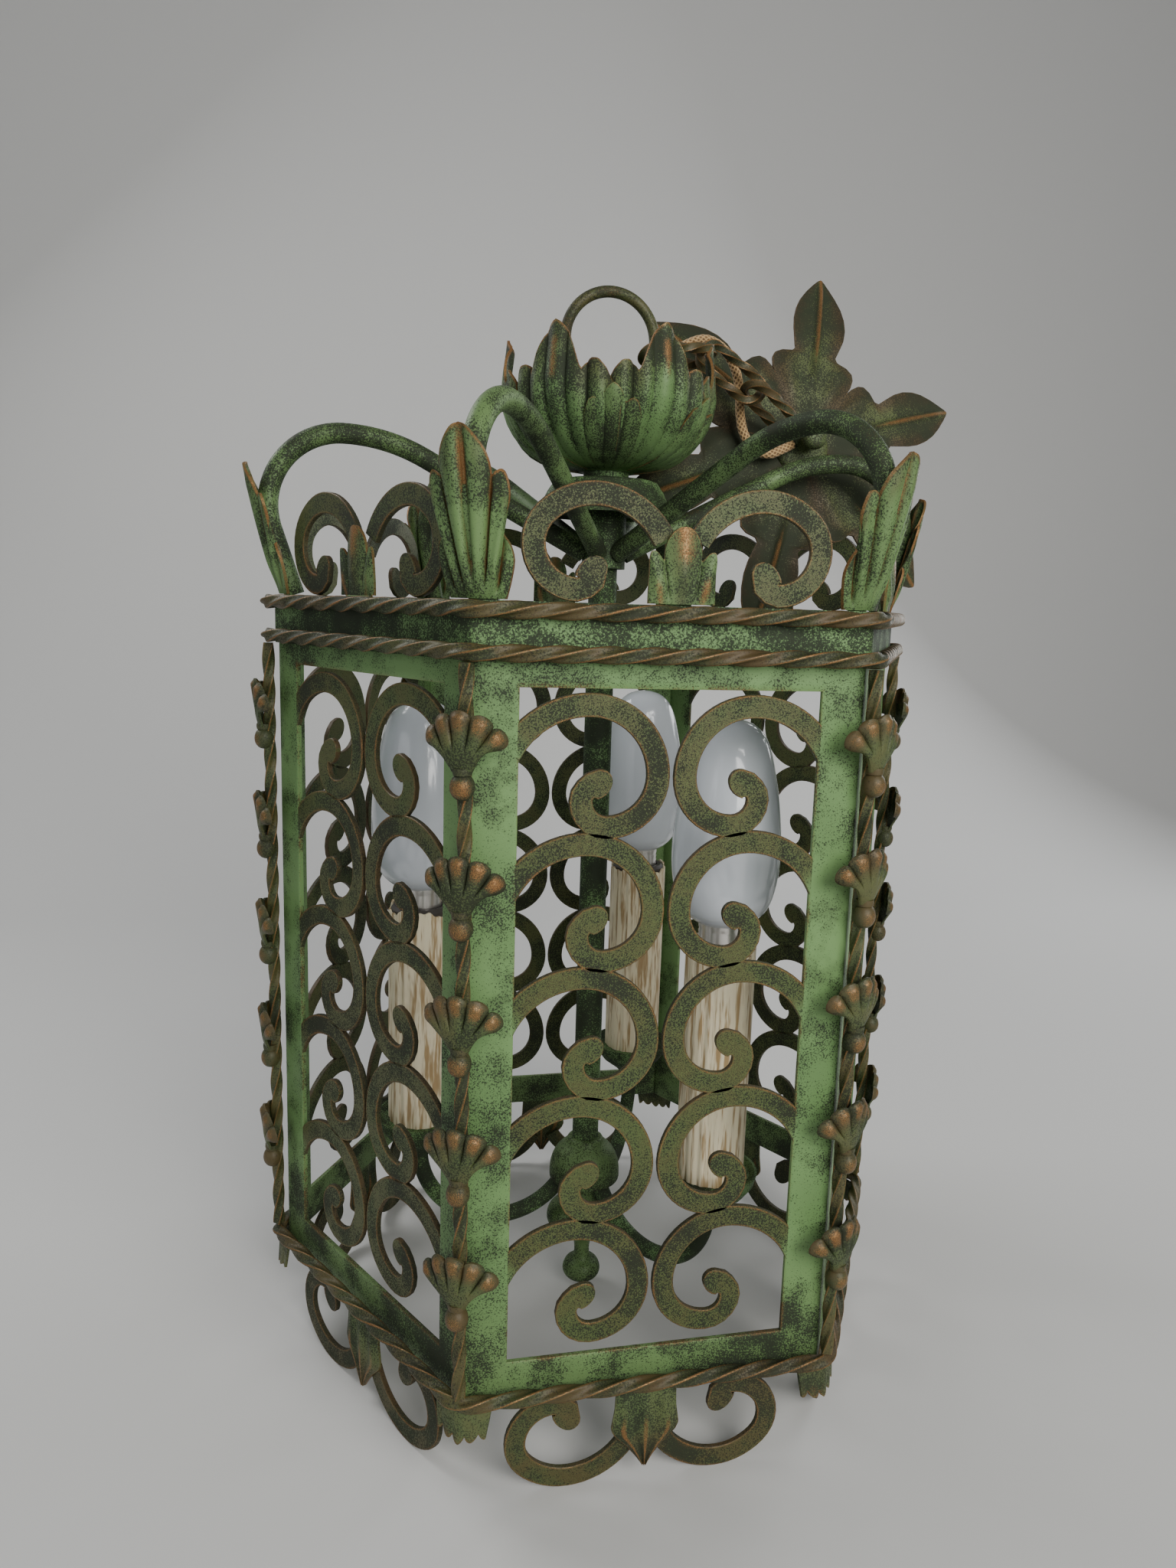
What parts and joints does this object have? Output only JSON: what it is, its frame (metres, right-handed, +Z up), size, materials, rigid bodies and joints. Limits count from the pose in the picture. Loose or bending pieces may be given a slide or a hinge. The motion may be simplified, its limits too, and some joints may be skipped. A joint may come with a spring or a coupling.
{
  "type": "wrought-iron cage lantern",
  "caption": "Hexagonal wrought-iron cage lantern with scroll grilles, twisted rims, leaf crown, candle lamps and its chain and ceiling canopy laid on top.",
  "frame": {"origin": "on the lantern's axis, in the plane that the lowest points of the hanging scrolls stand on", "axes": "+Z up along the axis, -Y the outward normal of the front panel, +X to the right seen from the front"},
  "size_m": [0.458, 0.364, 0.6717],
  "materials": {
    "sage_iron": "verdigris green paint, stippled black and brushed with copper",
    "olive_iron": "olive brown paint with copper edges",
    "bronze_iron": "bronze brown paint with bright copper ridges",
    "wax_sleeve": "cream, with runs like wax",
    "lamp_holder": "matt",
    "opal_glass": "opal white, glossy",
    "braid": "golden brown textile braid"
  },
  "bodies": {
    "lantern": {"panel_1": "sage_iron", "panel_2": "sage_iron", "panel_3": "sage_iron", "panel_4": "sage_iron", "panel_5": "sage_iron", "panel_6": "sage_iron", "corner_vine_1": "bronze_iron", "corner_vine_2": "bronze_iron", "corner_vine_3": "bronze_iron", "corner_vine_4": "bronze_iron", "corner_vine_5": "bronze_iron", "corner_vine_6": "bronze_iron", "crown_frieze_1": "olive_iron", "crown_frieze_2": "olive_iron", "crown_frieze_3": "olive_iron", "crown_frieze_4": "olive_iron", "crown_frieze_5": "olive_iron", "crown_frieze_6": "olive_iron", "hanging_frieze_1": "olive_iron", "hanging_frieze_2": "olive_iron", "hanging_frieze_3": "olive_iron", "hanging_frieze_4": "olive_iron", "hanging_frieze_5": "olive_iron", "hanging_frieze_6": "olive_iron", "corner_leaf_1": "sage_iron", "corner_leaf_2": "sage_iron", "corner_leaf_3": "sage_iron", "corner_leaf_4": "sage_iron", "corner_leaf_5": "sage_iron", "corner_leaf_6": "sage_iron", "crown_arm_1": "sage_iron", "crown_arm_2": "sage_iron", "crown_arm_3": "sage_iron", "crown_arm_4": "sage_iron", "crown_arm_5": "sage_iron", "crown_arm_6": "sage_iron", "top_band": "sage_iron", "upper_rope": "bronze_iron", "lower_rope": "bronze_iron", "bottom_rope": "bronze_iron", "hub": "sage_iron", "leaf_cup": "sage_iron", "hanging_loop": "sage_iron", "central_tube": "sage_iron", "candle_hub": "sage_iron", "candle_arm_1": "sage_iron", "candle_arm_2": "sage_iron", "candle_arm_3": "sage_iron", "candle_sleeve_1": "wax_sleeve", "candle_sleeve_2": "wax_sleeve", "candle_sleeve_3": "wax_sleeve", "lamp_holder_1": "lamp_holder", "lamp_holder_2": "lamp_holder", "lamp_holder_3": "lamp_holder", "chain": "bronze_iron", "canopy": "sage_iron", "cable": "braid"},
    "bulb_body_1": {"bulb_1": "opal_glass"},
    "bulb_body_2": {"bulb_2": "opal_glass"},
    "bulb_body_3": {"bulb_3": "opal_glass"}
  },
  "joints": [
    {"name": "bulb_1_turn", "type": "hinge", "parent": "lantern", "child": "bulb_body_1", "pos_m": [0.054, -0.09353, 0.255], "axis": [0, 0, 1], "range_deg": [0, 1080]},
    {"name": "bulb_2_turn", "type": "hinge", "parent": "lantern", "child": "bulb_body_2", "pos_m": [0.054, 0.09353, 0.255], "axis": [0, 0, 1], "range_deg": [0, 1080]},
    {"name": "bulb_3_turn", "type": "hinge", "parent": "lantern", "child": "bulb_body_3", "pos_m": [-0.108, 0, 0.255], "axis": [0, 0, 1], "range_deg": [0, 1080]}
  ]
}
